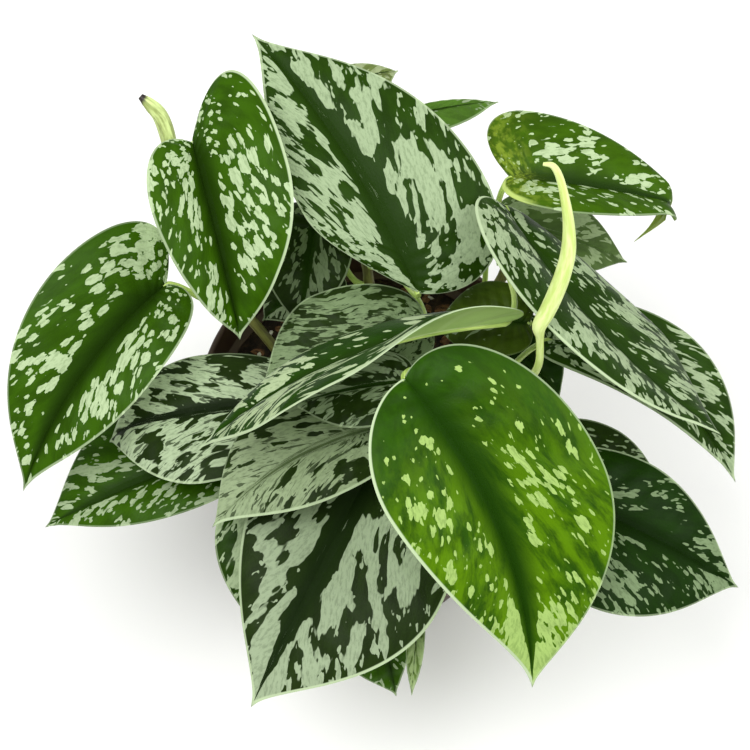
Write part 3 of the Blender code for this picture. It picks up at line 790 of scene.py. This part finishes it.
def sweep(line, radii, sides, section=None):
    """A rod along the line: points, faces, and each point's turn and its mm from the end.

    section(turn, share) scales the radius round the rod. The ends close in one point.
    """
    line = np.asarray(line, dtype=float)
    along = np.gradient(line, axis=0)
    along /= np.linalg.norm(along, axis=1)[:, None]
    lengths = np.concatenate(([0.0], np.cumsum(np.linalg.norm(np.diff(line, axis=0), axis=1))))
    across = unit(np.cross(along[0], UP if abs(along[0][2]) < 0.9 else np.array((1.0, 0.0, 0.0))))
    points = [line[0]]
    places = [(0.0, 0.0, lengths[-1] * 1000)]
    for index, (centre, heading, radius) in enumerate(zip(line, along, radii)):
        across = unit(across - heading * across.dot(heading))
        other = np.cross(heading, across)
        to_end = (lengths[-1] - lengths[index]) * 1000
        for side in range(sides):
            turn = math.tau * side / sides
            scale = section(turn, index / (len(line) - 1)) if section else 1.0
            way = across * math.cos(turn) + other * math.sin(turn)
            points.append(centre + way * radius * scale)
            places.append((2 * math.cos(turn), 2 * math.sin(turn), to_end))
    points.append(line[-1])
    places.append((0.0, 0.0, 0.0))
    return np.array(points), tube_faces(len(line), sides), np.array(places)


class Midrib:
    """The arched line from a leaf's heart to its tip, and the directions along it."""

    def __init__(self, shape):
        self.shape = shape
        self.heart = np.array(shape["heart"])
        self.chord = np.array(shape["tip"]) - self.heart
        self.along = unit(self.chord)
        self.normal = unit(UP - self.along * UP.dot(self.along))
        self.right = np.cross(self.along, self.normal)

    def curve(self, station):
        arch = 4 * station * (1 - station)
        fold = self.shape["fold"]
        turned = max(0.0, (station - fold) / (1 - fold)) ** 2 * self.shape["tuck"]
        return (self.heart + self.chord * station
                + self.normal * (self.shape["bow"] * arch - turned)
                + self.right * self.shape["sway"] * arch
                - self.along * turned * self.shape["curl"])

    def point(self, station):
        """A point on the midrib, carried straight on behind the heart for the lobes."""
        if station >= 0:
            return self.curve(station)
        step = 0.01
        return self.curve(0.0) + (self.curve(step) - self.curve(0.0)) * station / step

    def frame(self, station):
        """The directions along the midrib, out of the blade's face, and to its right."""
        station = min(max(station, 0.0), 1.0)
        low = max(station - 0.02, 0.0)
        high = min(station + 0.02, 1.0)
        along = unit(self.curve(high) - self.curve(low))
        normal = unit(self.normal - along * self.normal.dot(along))
        return along, normal, np.cross(along, normal)


def vein_root(share, peak):
    """Where on the midrib the side vein to a margin point starts."""
    first = max(peak - VEIN_SLANT, FIRST_VEIN)
    if share < LOBE_SHARE:
        return first * (share / LOBE_SHARE) ** 1.1
    run = (share - LOBE_SHARE) / (1 - LOBE_SHARE)
    return first + (1.0 - first) * run ** 0.93


def margin(share, lobe, peak):
    """Station and width of a margin point, from the notch round the lobe to the tip."""
    if share < LOBE_SHARE:
        turn = 0.5 * math.pi * share / LOBE_SHARE
        station = peak * (1 - math.cos(turn)) - lobe * math.sin(2 * turn)
        return station, math.sin(turn) ** LOBE_ROUNDNESS
    run = (share - LOBE_SHARE) / (1 - LOBE_SHARE)
    width = math.cos(0.5 * math.pi * run) ** TAPER * (1 - TIP_NARROWING * run ** TIP_DRAW)
    return peak + (1 - peak) * run, width


def lift_at(shape, side, station):
    """The degrees that a half lifts, with what it is raised beside the heart."""
    lift = (shape["left"] if side < 0 else shape["right"])[1]
    raised = shape["raised"][0 if side < 0 else 1]
    fall = min(max((station - RAISE_NEAR) / (RAISE_FAR - RAISE_NEAR), 0.0), 1.0)
    return lift + raised * (1 - fall * fall * (3 - 2 * fall))


def side_vein(rib, side, share):
    """The side vein to a margin point: its root, its end, its swelling direction and size."""
    shape = rib.shape
    half = 0 if side < 0 else 1
    half_width = (shape["left"] if side < 0 else shape["right"])[0]
    station, width = margin(share, shape["lobes"][half], shape["peak"][half])
    angle = math.radians(lift_at(shape, side, station))
    normal, right = rib.frame(station)[1:]
    out = right * side * math.cos(angle) + normal * math.sin(angle)
    face = normal * math.cos(angle) - right * side * math.sin(angle)
    start = rib.point(vein_root(share, sum(shape["peak"]) / 2))
    return start, rib.point(station) + out * half_width * width, face, half_width * width


def blade_grid(shape):
    """The blade's middle surface: points, triangles, rim, and each point's place on the leaf.

    The places are the point's mm along the leaf and across it, its shares of both with
    its side, and its mm from the margin.
    """
    rib = Midrib(shape)
    length = np.linalg.norm(rib.chord) * 1000
    kept = []
    index = {}

    def keep(point, spot, part, edge):
        kept.append((point, spot, part, edge))
        return len(kept) - 1

    start = keep(rib.point(0.0), (0.0, 0.0, 0.0), (0.0, 0.0, 0.5), HEART_EDGE)
    for row in range(1, BLADE_ROWS):
        share = row / BLADE_ROWS
        veins = {side: side_vein(rib, side, share) for side in (-1, 1)}
        depth = MIDRIB_GROOVE * math.sin(math.pi * share) ** 0.5
        reach = {side: np.linalg.norm(veins[side][1] - veins[side][0]) * 1000 for side in (-1, 1)}
        middle = keep(veins[1][0] - rib.frame(share)[1] * depth, (share * length, 0.0, 0.0),
                      (share, 0.0, 0.5), min(reach.values()))
        for side in (-1, 1):
            root, end, face, width = veins[side]
            index[row, side, 0] = middle
            for column in range(1, BLADE_COLUMNS + 1):
                across = 1 - (1 - column / BLADE_COLUMNS) ** COLUMN_CROWDING
                arch = 4 * across * (1 - across)
                wave = BLADE_WAVE * across ** 2 * math.sin(WAVE_RATE * share + 2 * side)
                groove = math.exp(-(across * reach[side] / 1000 / MIDRIB_HALF_WIDTH) ** 2)
                quilt = QUILT_DEPTH * math.cos(math.tau * QUILT_VEINS * share) * arch
                lift = width * (BLADE_SWELL * arch + wave) + quilt - groove * depth
                index[row, side, column] = keep(
                    root + (end - root) * across + face * lift,
                    (share * length, side * across * reach[side], 0.0),
                    (share, across, 0.5 + side / 2), (1 - across) * reach[side])
    tip = keep(rib.point(1.0), (length, 0.0, 0.0), (1.0, 1.0, 0.5), 0.0)
    for side in (-1, 1):
        for column in range(BLADE_COLUMNS + 1):
            index[0, side, column] = start
            index[BLADE_ROWS, side, column] = tip
    rim = [start]
    rim += [index[row, 1, BLADE_COLUMNS] for row in range(1, BLADE_ROWS)]
    rim += [tip]
    rim += [index[row, -1, BLADE_COLUMNS] for row in range(BLADE_ROWS - 1, 0, -1)]
    points, *places = [np.array(column) for column in zip(*kept)]
    return points, blade_triangles(index), rim, *places


def blade_triangles(index):
    """Triangles between the grid's rows and columns, facing up on both halves."""
    triangles = []
    for side in (-1, 1):
        for row in range(BLADE_ROWS):
            for column in range(BLADE_COLUMNS):
                a = index[row, side, column]
                b = index[row, side, column + 1]
                c = index[row + 1, side, column + 1]
                d = index[row + 1, side, column]
                for corners in ((a, b, c), (a, c, d)):
                    if len(set(corners)) == 3:
                        triangles.append(corners if side > 0 else corners[::-1])
    return triangles


def point_normals(points, triangles):
    corners = np.array(triangles)
    first, second, third = (points[corners[:, column]] for column in range(3))
    crosses = np.cross(second - first, third - first)
    normals = np.zeros_like(points)
    for column in range(3):
        np.add.at(normals, corners[:, column], crosses)
    return normals / np.linalg.norm(normals, axis=1)[:, None]


def stalk_curve(start, leave, arrive, end, steps):
    """A curve that leaves its start and reaches its end in the given directions."""
    span = np.linalg.norm(end - start)
    return bezier(start, start + leave * span * LEAVING_PULL,
                  end - arrive * span * ARRIVING_PULL, end, steps)


def leave_stem(stem_name, node, goal, radius):
    """Where a petiole starts, just clear of its vine, and the way that it leaves."""
    root, axis = stem_place(STEMS[stem_name], node)
    reach = goal - root
    away = unit(reach - axis * reach.dot(axis))
    leave = unit(away + axis * PETIOLE_RISE)
    return root + away * (STEM_RADIUS + CLEARANCE + radius * leave.dot(axis)), leave


def petiole_line(shape):
    """From the vine up to the heart, then on under the blade, where it sinks into the midrib."""
    rib = Midrib(shape)
    heart = rib.point(0.0) - rib.normal * PETIOLE_SINK
    start, leave = leave_stem(shape["stem"], shape["node"], heart, PETIOLE_RADIUS)
    arrive = unit(unit(heart - start) + rib.frame(0.0)[0] * PETIOLE_RISE)
    line = stalk_curve(start, leave, arrive, heart, PETIOLE_STEPS)
    under = []
    for step in range(1, UNDER_STEPS + 1):
        share = step / UNDER_STEPS
        station = UNDER_REACH * share
        depth = under_radius(share) + BLADE_THICKNESS / 2 + MIDRIB_GROOVE * 0.7
        under.append(rib.point(station) - rib.frame(station)[1] * depth)
    return np.vstack((line, under)), len(line)


def under_radius(share):
    """The midrib's radius below the blade, from the heart outwards."""
    return PETIOLE_RADIUS * (UNDER_SHARE - UNDER_TAPER * share)


def petiole_radii(count, bare):
    """Swollen at both ends of the stalk, then tapering out along the midrib."""
    radii = []
    for index in range(bare):
        share = index / (bare - 1)
        base = BASE_SWELL * math.exp(-share / 0.05)
        knee = KNEE_SWELL * math.exp(-((share - 0.95) / 0.06) ** 2)
        radii.append(PETIOLE_RADIUS * (STALK_SHARE + base + knee))
    under = count - bare
    return radii + [under_radius((step + 1) / under) for step in range(under)]


def channelled(turn, _share):
    """The petiole's section, with a shallow channel."""
    return 1.0 - CHANNEL_DEPTH * max(0.0, math.cos(turn)) ** 6


def build_leaf(name, shape, upper, lower, stalk):
    """A blade with both faces and its thin edge, and the petiole, in one piece."""
    points, triangles, rim, spots, parts, edges = blade_grid(shape)
    count = len(points)
    full = np.clip(edges / EDGE_RAMP, 0, 1) ** 0.5
    half = (EDGE_THICKNESS + (BLADE_THICKNESS - EDGE_THICKNESS) * full) / 2
    offset = point_normals(points, triangles) * half[:, None]
    faces = list(triangles)
    faces += [(c + count, b + count, a + count) for a, b, c in triangles]
    for start, end in zip(rim, rim[1:] + rim[:1]):
        faces.append((end, start, start + count, end + count))
    line, bare = petiole_line(shape)
    rod, rod_faces, places = sweep(line, petiole_radii(len(line), bare), PETIOLE_SIDES, channelled)
    faces += [tuple(corner + 2 * count for corner in face) for face in rod_faces]
    slots = [0] * len(triangles) + [1] * len(triangles) + [0] * len(rim) + [2] * len(rod_faces)
    item = add_mesh(name + "_fine", np.vstack((points + offset, points - offset, rod)), faces,
                    (upper, lower, stalk), slots)
    add_data(item, "leaf_mm", np.vstack((spots, spots)))
    add_data(item, "leaf_part", np.vstack((parts, parts)))
    add_data(item, "edge_mm", np.concatenate((edges, edges)))
    add_data(item, "stalk_mm", np.vstack((np.zeros((2 * count, 3)), places)))
    stands_for(item, name)


def rolled(turn, share):
    """A rolled leaf's section: its free edge laps over the roll, opening a little higher up."""
    lap = LAP_DEPTH + LAP_OPENING * math.sin(math.pi * share)
    return 1.0 - lap * ((turn + LAP_TWIST * share) % math.tau) / math.tau


def add_rod(name, rod, material):
    """A piece of one swept rod."""
    points, faces, places = rod
    item = add_mesh(name + "_fine", points, faces, (material,))
    add_data(item, "stalk_mm", places)
    stands_for(item, name)


def build_young_leaf(name, shape, material):
    """A rolled leaf on its stalk, or a shoot."""
    radius = shape["radius"] / 1000
    marks = np.array(shape["line"]) / 1000
    roll = marks[:, :3]
    start, leave = leave_stem(shape["stem"], shape["node"], roll[0], radius)
    stalk = stalk_curve(start, leave, unit(roll[1] - roll[0]), roll[0], STALK_STEPS)[:-1]
    path = smooth_line(np.vstack((np.insert(stalk, 3, radius, axis=1), marks)), ROLL_STEPS)
    radii = np.maximum(path[:, 3], LEAST_ROLL_RADIUS)
    add_rod(name, sweep(path[:, :3], radii, ROLL_SIDES, rolled), material)


def build_stem(name, stem, material):
    """A vine with a swollen ring at each leaf's node."""
    upper = stem_line(stem)
    root = np.array((*stem["foot"], STEM_ROOT_LEVEL))
    shoots = (*LEAVES.values(), *YOUNG_LEAVES.values())
    nodes = [shape["node"] for shape in shoots if shape["stem"] == name]
    radii = [STEM_RADIUS * 0.9]
    for index in range(len(upper)):
        share = index / (len(upper) - 1)
        ring = sum(math.exp(-((share - node) / NODE_LENGTH) ** 2) for node in nodes)
        radii.append(STEM_RADIUS * (1 - NODE_SWELL + NODE_SWELL * min(ring, 1.0)))
    rod = sweep(np.vstack(([root], upper)), radii, STEM_SIDES)
    add_rod(name, rod, material)


def lathe(profile, segments):
    """Points and faces of a profile turned about Z. Its first and last points are on the axis."""
    points = [(0.0, 0.0, profile[0][1])]
    for radius, height in profile[1:-1]:
        for step in range(segments):
            turn = math.tau * step / segments
            points.append((radius * math.cos(turn), radius * math.sin(turn), height))
    points.append((0.0, 0.0, profile[-1][1]))
    return points, tube_faces(len(profile) - 2, segments)


def inner_radius(height):
    """The pot's inside radius below its rim band."""
    share = height / (POT_HEIGHT - RIM_BAND_HEIGHT)
    return POT_BASE_RADIUS + (POT_SHOULDER_RADIUS - POT_BASE_RADIUS) * share - POT_WALL


def arc(centre, radius, start, end, steps):
    """Points of an arc in a profile, its angles in degrees from outwards to up."""
    angles = np.radians(np.linspace(start, end, steps))
    return [(centre[0] + radius * math.cos(angle), centre[1] + radius * math.sin(angle))
            for angle in angles]


def pot_profile():
    """The pot's section, from the middle of its base round the lip to the middle inside."""
    band_level = POT_HEIGHT - RIM_BAND_HEIGHT
    band_radius = POT_SHOULDER_RADIUS + RIM_STEP
    lip = LIP_RADIUS
    profile = [(0.0, 0.0), (POT_BASE_RADIUS - BASE_CHAMFER, 0.0)]
    profile += arc((POT_BASE_RADIUS - BASE_CHAMFER, BASE_CHAMFER), BASE_CHAMFER, -70, 0, 4)
    profile += [(POT_SHOULDER_RADIUS, band_level)]
    profile += arc((band_radius - lip / 2, band_level + lip), lip / 2, -90, 0, 4)
    profile += [(POT_RIM_RADIUS, POT_HEIGHT - lip)]
    profile += arc((POT_RIM_RADIUS - lip, POT_HEIGHT - lip), lip, 20, 160, 8)
    profile += [(POT_RIM_RADIUS - 2 * lip, POT_HEIGHT - lip)]
    profile += [(band_radius - POT_WALL, band_level + 3 * lip)]
    profile += [(inner_radius(band_level), band_level + lip)]
    profile += [(inner_radius(POT_FLOOR), POT_FLOOR), (0.0, POT_FLOOR)]
    return profile


def build_pot(material):
    """The pot with its drain holes."""
    points, faces = lathe(pot_profile(), POT_SEGMENTS)
    pot = add_mesh("pot_fine", points, faces, (material,), smooth_angle=35)
    for index in range(DRAIN_COUNT):
        turn = math.tau * (index + 0.5) / DRAIN_COUNT
        place = (DRAIN_CIRCLE_RADIUS * math.cos(turn), DRAIN_CIRCLE_RADIUS * math.sin(turn), 0.0)
        bpy.ops.mesh.primitive_cylinder_add(
            vertices=40, radius=DRAIN_RADIUS, depth=4 * POT_FLOOR, location=place)
        cutter = bpy.context.object
        modifier = pot.modifiers.new("drain", "BOOLEAN")
        modifier.operation = "DIFFERENCE"
        modifier.object = cutter
        graph = bpy.context.evaluated_depsgraph_get()
        mesh = bpy.data.meshes.new_from_object(pot.evaluated_get(graph))
        pot.modifiers.clear()
        pot.data = mesh
        bpy.data.objects.remove(cutter, do_unlink=True)
    stands_for(pot, "pot")


def soil_height(x, y):
    """The soil's lumpy top, level with the frame's soil."""
    edge = inner_radius(SOIL_LEVEL)
    mound = SOIL_MOUND * (1 - (x * x + y * y) / edge ** 2)
    lumps = LUMP_HEIGHT * noise.noise(Vector((x * LUMP_RATE, y * LUMP_RATE, 0.0)))
    grit = GRIT_HEIGHT * noise.noise(Vector((x * GRIT_RATE, y * GRIT_RATE, 4.0)))
    return SOIL_LEVEL - SOIL_DROP + mound + lumps + grit


def build_soil(material, crumbs):
    """The soil's lumpy plug, with chips of bark and perlite scattered on it."""
    floor = POT_FLOOR + CLEARANCE
    edge = inner_radius(SOIL_LEVEL) - CLEARANCE
    profile = [(0.0, floor), (inner_radius(floor) - CLEARANCE, floor)]
    profile += [(edge * (1 - ring / SOIL_RINGS), SOIL_LEVEL) for ring in range(SOIL_RINGS)]
    profile += [(0.0, SOIL_LEVEL)]
    points, faces = lathe(profile, SOIL_SEGMENTS)
    shaped = [(x, y, soil_height(x, y) if z > floor else z) for x, y, z in points]
    slots = [0] * len(faces)
    draw = np.random.default_rng(CRUMB_SEED)
    for _ in range(CRUMB_COUNT):
        out = (edge - CRUMB_INSET) * math.sqrt(draw.uniform(0, 1))
        turn = draw.uniform(0, math.tau)
        x, y = out * math.cos(turn), out * math.sin(turn)
        kind = int(draw.choice((1, 1, 1, 2)))
        smallest, largest, flat = BARK_SIZES if kind == 1 else PERLITE_SIZES
        size = draw.uniform(smallest, largest)
        crumb, crumb_faces = crumb_shape(draw, size, (x, y, soil_height(x, y)), flat)
        first = len(shaped)
        shaped += crumb
        faces += [tuple(first + corner for corner in face) for face in crumb_faces]
        slots += [kind] * len(crumb_faces)
    item = add_mesh("soil_fine", shaped, faces, (material, *crumbs), slots, smooth_angle=35)
    stands_for(item, "soil")


def crumb_shape(draw, size, place, flat):
    """One irregular chip: an octahedron's corners and edge middles, pushed in and out."""
    poles = [(1, 0, 0), (0, 1, 0), (-1, 0, 0), (0, -1, 0), (0, 0, 1), (0, 0, -1)]
    corners = [np.array(pole, dtype=float) for pole in poles]
    faces = []
    middle = {}

    def half_way(a, b):
        key = (min(a, b), max(a, b))
        if key not in middle:
            middle[key] = len(corners)
            corners.append(unit(corners[a] + corners[b]))
        return middle[key]

    for side in range(4):
        after = (side + 1) % 4
        for a, b, c in ((side, after, 4), (after, side, 5)):
            ab, bc, ca = half_way(a, b), half_way(b, c), half_way(c, a)
            faces += [(a, ab, ca), (ab, b, bc), (ca, bc, c), (ab, bc, ca)]
    turn = draw.uniform(0, math.pi)
    long = draw.uniform(1.0, CRUMB_STRETCH)
    made = []
    for corner in corners:
        x, y, z = corner * draw.uniform(*CRUMB_ROUGHNESS) * size
        x *= long
        made.append((place[0] + x * math.cos(turn) - y * math.sin(turn),
                     place[1] + x * math.sin(turn) + y * math.cos(turn),
                     place[2] + z * flat))
    return made, faces


def build_stage():
    """The white floor, which is no part of the plant."""
    half = FLOOR_SIDE / 2
    corners = [(x * half, y * half, -FLOOR_DROP) for x, y in ((-1, -1), (1, -1), (1, 1), (-1, 1))]
    floor = add_mesh("floor", corners, [(0, 1, 2, 3)], (floor_material(),))


def add_light(name, place, size, power):
    """A round lamp that shines at the plant."""
    light = bpy.data.lights.new(name, "AREA")
    light.shape = "DISK"
    light.size = size
    light.energy = power
    item = bpy.data.objects.new(name, light)
    item.location = place
    item.rotation_euler = (Vector(TARGET) - Vector(place)).to_track_quat("-Z", "Y").to_euler()
    bpy.context.scene.collection.objects.link(item)


def build_light():
    world = bpy.data.worlds.new("studio")
    world.use_nodes = True
    background = world.node_tree.nodes["Background"]
    background.inputs["Color"].default_value = (1.0, 1.0, 1.0, 1.0)
    background.inputs["Strength"].default_value = SKY_STRENGTH
    bpy.context.scene.world = world
    for name, (place, size, power) in LIGHTS.items():
        add_light(name, place, size, power)
    bpy.context.scene.view_settings.view_transform = "Standard"


def build_camera():
    data = bpy.data.cameras.new("camera")
    data.lens = CAMERA_LENS
    data.sensor_width = SENSOR_WIDTH
    data.shift_y = (TARGET_ROW - IMAGE_SIDE / 2) / IMAGE_SIDE
    camera = bpy.data.objects.new("camera", data)
    angle = math.radians(CAMERA_ELEVATION)
    camera.location = (TARGET[0], TARGET[1] - CAMERA_DISTANCE * math.cos(angle),
                       TARGET[2] + CAMERA_DISTANCE * math.sin(angle))
    camera.rotation_euler = (math.pi / 2 - angle, 0.0, 0.0)
    bpy.context.scene.collection.objects.link(camera)
    bpy.context.scene.camera = camera


def main():
    build_camera()
    build_light()
    build_stage()
    build_pot(pot_material())
    build_soil(soil_material(), (crumb_material("bark", (58, 38, 24), (120, 86, 56)),
                                 crumb_material("perlite", (196, 190, 178), (232, 228, 218))))
    vine = stalk_material("vine", (86, 84, 34), (122, 124, 60), 0.9)
    for name, stem in STEMS.items():
        build_stem(name, stem, vine)
    lower = underside_material()
    stalk = stalk_material("petiole", (146, 176, 78), (196, 218, 120), 0.8)
    for seed, (name, shape) in enumerate(LEAVES.items()):
        build_leaf(name, shape, splash_material(name, LOOKS[name], seed), lower, stalk)
    build_young_leaf("young_leaf_rolled", YOUNG_LEAVES["young_leaf_rolled"],
                     stalk_material("young_leaf", (186, 208, 110), (216, 230, 156), 0.7))
    build_young_leaf("young_shoot_left", YOUNG_LEAVES["young_shoot_left"], shoot_material())


main()
